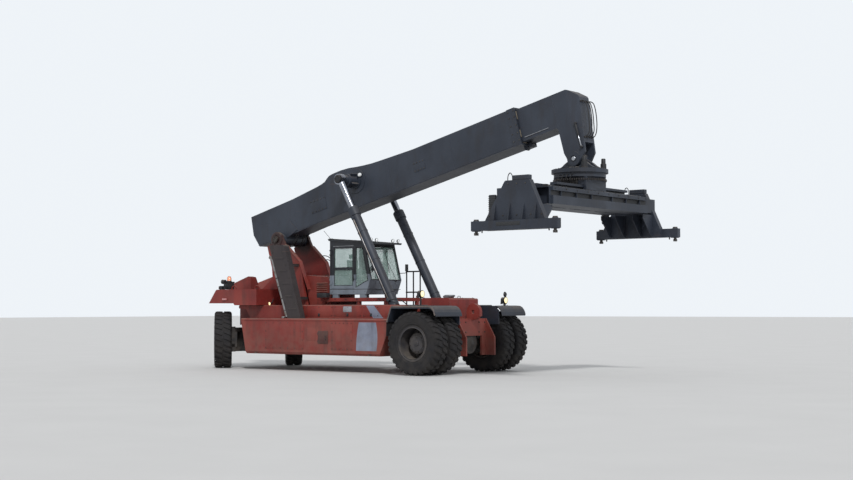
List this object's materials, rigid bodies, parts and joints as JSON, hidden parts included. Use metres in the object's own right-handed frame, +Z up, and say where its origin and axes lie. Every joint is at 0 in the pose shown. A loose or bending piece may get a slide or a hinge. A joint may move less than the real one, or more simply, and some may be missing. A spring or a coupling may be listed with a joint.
{
  "type": "reach stacker",
  "caption": "Container handler on rubber tyres with a telescopic boom, a turning spreader frame, a sliding cab and rear-wheel steering.",
  "frame": {"origin": "middle of the bounding box of the machine at rest, on the ground", "axes": "+X forward along the boom, +Y to the machine's left, +Z up"},
  "size_m": [13.4724, 6.003, 7.2721],
  "materials": {
    "red_paint": "faded orange-red paint, dusty",
    "dark_paint": "charcoal paint, greasy and dusty",
    "axle_paint": "dark paint under road dirt",
    "engine_iron": "plain casting",
    "pipe_steel": "bare steel pipe",
    "amber": "amber lens",
    "cab_paint": "light grey paint",
    "cab_glass": "faintly green glass",
    "seat_fabric": "dark woven fabric",
    "console_plastic": "moulded dark plastic",
    "rod_chrome": "hard chrome under a film of oil",
    "lock_steel": "worn forged steel",
    "tyre_rubber": "dusty black rubber"
  },
  "bodies": {
    "chassis": {"main_frame": "red_paint", "lift_brackets": "red_paint", "front_housing": "red_paint", "counterweight": "red_paint", "boom_tower": "red_paint", "exhaust_shield": "dark_paint", "exhaust_pipe": "pipe_steel", "engine_hood": "red_paint", "engine_block": "engine_iron", "drive_axle": "axle_paint", "steer_axle": "axle_paint", "side_tanks": "red_paint", "front_fenders": "dark_paint", "cab_rails": "red_paint", "handrail": "dark_paint", "lamp_posts": "dark_paint", "beacon": "amber"},
    "cab": {"cab_shell": "cab_paint", "cab_glass": "cab_glass", "cab_seat": "seat_fabric", "cab_console": "console_plastic"},
    "door_right": {"door_right": "cab_paint", "door_right_glass": "cab_glass"},
    "door_left": {"door_left": "cab_paint", "door_left_glass": "cab_glass"},
    "boom": {"boom_outer": "dark_paint"},
    "boom_extension": {"boom_inner": "dark_paint"},
    "lift_barrel_right": {"lift_barrel_right": "dark_paint"},
    "lift_rod_right": {"lift_rod_right": "rod_chrome"},
    "lift_barrel_left": {"lift_barrel_left": "dark_paint"},
    "lift_rod_left": {"lift_rod_left": "rod_chrome"},
    "tilt_frame": {"tilt_frame": "dark_paint"},
    "rotator": {"rotator": "dark_paint"},
    "spreader": {"spreader_frame": "dark_paint"},
    "end_beam_right": {"end_beam_right": "dark_paint"},
    "end_beam_left": {"end_beam_left": "dark_paint"},
    "twistlock_rear_right": {"twistlock_rear_right": "lock_steel"},
    "twistlock_front_right": {"twistlock_front_right": "lock_steel"},
    "twistlock_rear_left": {"twistlock_rear_left": "lock_steel"},
    "twistlock_front_left": {"twistlock_front_left": "lock_steel"},
    "front_wheels_right": {"front_tyres_right": "tyre_rubber", "front_rims_right": "axle_paint"},
    "front_wheels_left": {"front_tyres_left": "tyre_rubber", "front_rims_left": "axle_paint"},
    "knuckle_right": {"knuckle_right": "axle_paint"},
    "knuckle_left": {"knuckle_left": "axle_paint"},
    "rear_wheel_right": {"rear_tyre_right": "tyre_rubber", "rear_rim_right": "axle_paint"},
    "rear_wheel_left": {"rear_tyre_left": "tyre_rubber", "rear_rim_left": "axle_paint"}
  },
  "joints": [
    {"name": "cab_slide", "type": "slide", "parent": "chassis", "child": "cab", "axis": [-1, 0, 0], "range_m": [-0.8, 0]},
    {"name": "door_right_hinge", "type": "hinge", "parent": "cab", "child": "door_right", "pos_m": [-2.29461, -0.706, 3], "axis": [0, 0, -1], "range_deg": [0, 90]},
    {"name": "door_left_hinge", "type": "hinge", "parent": "cab", "child": "door_left", "pos_m": [-2.29461, 0.706, 3], "axis": [0, 0, 1], "range_deg": [0, 90]},
    {"name": "boom_lift", "type": "hinge", "parent": "chassis", "child": "boom", "pos_m": [-4.50461, 0, 3.75], "axis": [0, -1, 0], "range_deg": [-13, 45]},
    {"name": "lift_barrel_right", "type": "hinge", "parent": "chassis", "child": "lift_barrel_right", "pos_m": [0.34539, -1, 1.65], "axis": [0, -1, 0], "range_deg": [-2.5, 8.5]},
    {"name": "lift_rod_right", "type": "slide", "parent": "lift_barrel_right", "child": "lift_rod_right", "axis": [-0.4859, 0, 0.874], "range_m": [-0.676, 2.34]},
    {"name": "lift_barrel_left", "type": "hinge", "parent": "chassis", "child": "lift_barrel_left", "pos_m": [0.34539, 1, 1.65], "axis": [0, -1, 0], "range_deg": [-2.5, 8.5]},
    {"name": "lift_rod_left", "type": "slide", "parent": "lift_barrel_left", "child": "lift_rod_left", "axis": [-0.4859, 0, 0.874], "range_m": [-0.676, 2.34]},
    {"name": "boom_extend", "type": "slide", "parent": "boom", "child": "boom_extension", "axis": [-0.9694, 0, -0.2453], "range_m": [-5.6, 0.5]},
    {"name": "spreader_tilt", "type": "hinge", "parent": "boom_extension", "child": "tilt_frame", "pos_m": [5.49672, 0, 5.49987], "axis": [0, 1, 0], "range_deg": [-18, 52]},
    {"name": "spreader_rotate", "type": "hinge", "parent": "tilt_frame", "child": "rotator", "pos_m": [5.49672, 0, 5.09987], "axis": [0, 0, 1], "range_deg": [-105, 195]},
    {"name": "spreader_sideshift", "type": "slide", "parent": "rotator", "child": "spreader", "axis": [0, 1, 0], "range_m": [-0.8, 0.8]},
    {"name": "telescope_right", "type": "slide", "parent": "spreader", "child": "end_beam_right", "axis": [0, -1, 0], "range_m": [0, 3.066]},
    {"name": "telescope_left", "type": "slide", "parent": "spreader", "child": "end_beam_left", "axis": [0, 1, 0], "range_m": [0, 3.066]},
    {"name": "twistlock_rear_right", "type": "hinge", "parent": "end_beam_right", "child": "twistlock_rear_right", "pos_m": [4.36722, -2.9265, 3.48987], "axis": [0, 0, 1], "range_deg": [0, 90]},
    {"name": "twistlock_front_right", "type": "hinge", "parent": "end_beam_right", "child": "twistlock_front_right", "pos_m": [6.62622, -2.9265, 3.48987], "axis": [0, 0, 1], "range_deg": [0, 90]},
    {"name": "twistlock_rear_left", "type": "hinge", "parent": "end_beam_left", "child": "twistlock_rear_left", "pos_m": [4.36722, 2.9265, 3.48987], "axis": [0, 0, 1], "range_deg": [0, 90]},
    {"name": "twistlock_front_left", "type": "hinge", "parent": "end_beam_left", "child": "twistlock_front_left", "pos_m": [6.62622, 2.9265, 3.48987], "axis": [0, 0, 1], "range_deg": [0, 90]},
    {"name": "front_wheels_right", "type": "hinge", "parent": "chassis", "child": "front_wheels_right", "pos_m": [1.69539, -1.515, 0.8275], "axis": [0, 1, 0], "continuous": true},
    {"name": "front_wheels_left", "type": "hinge", "parent": "chassis", "child": "front_wheels_left", "pos_m": [1.69539, 1.515, 0.8275], "axis": [0, 1, 0], "continuous": true},
    {"name": "steer_right", "type": "hinge", "parent": "chassis", "child": "knuckle_right", "pos_m": [-5.80461, -1.075, 0.8275], "axis": [0, 0, 1], "range_deg": [-10, 100]},
    {"name": "steer_left", "type": "hinge", "parent": "chassis", "child": "knuckle_left", "pos_m": [-5.80461, 1.075, 0.8275], "axis": [0, 0, 1], "range_deg": [-10, 100]},
    {"name": "rear_wheel_right", "type": "hinge", "parent": "knuckle_right", "child": "rear_wheel_right", "pos_m": [-6.01674, -1.28713, 0.8275], "axis": [0.7071, 0.7071, 0], "continuous": true},
    {"name": "rear_wheel_left", "type": "hinge", "parent": "knuckle_left", "child": "rear_wheel_left", "pos_m": [-5.59248, 1.28713, 0.8275], "axis": [0.7071, 0.7071, 0], "continuous": true}
  ],
  "couplings": [
    {"joint": "lift_barrel_right", "follows": "boom_lift", "ratio": 0.18677},
    {"joint": "lift_rod_right", "follows": "boom_lift", "m_per_rad": 2.9791},
    {"joint": "lift_barrel_left", "follows": "boom_lift", "ratio": 0.18677},
    {"joint": "lift_rod_left", "follows": "boom_lift", "m_per_rad": 2.9791},
    {"joint": "telescope_left", "follows": "telescope_right", "ratio": 1},
    {"joint": "steer_left", "follows": "steer_right", "ratio": 1},
    {"joint": "twistlock_front_right", "follows": "twistlock_rear_right", "ratio": 1},
    {"joint": "twistlock_rear_left", "follows": "twistlock_rear_right", "ratio": 1},
    {"joint": "twistlock_front_left", "follows": "twistlock_rear_right", "ratio": 1}
  ]
}
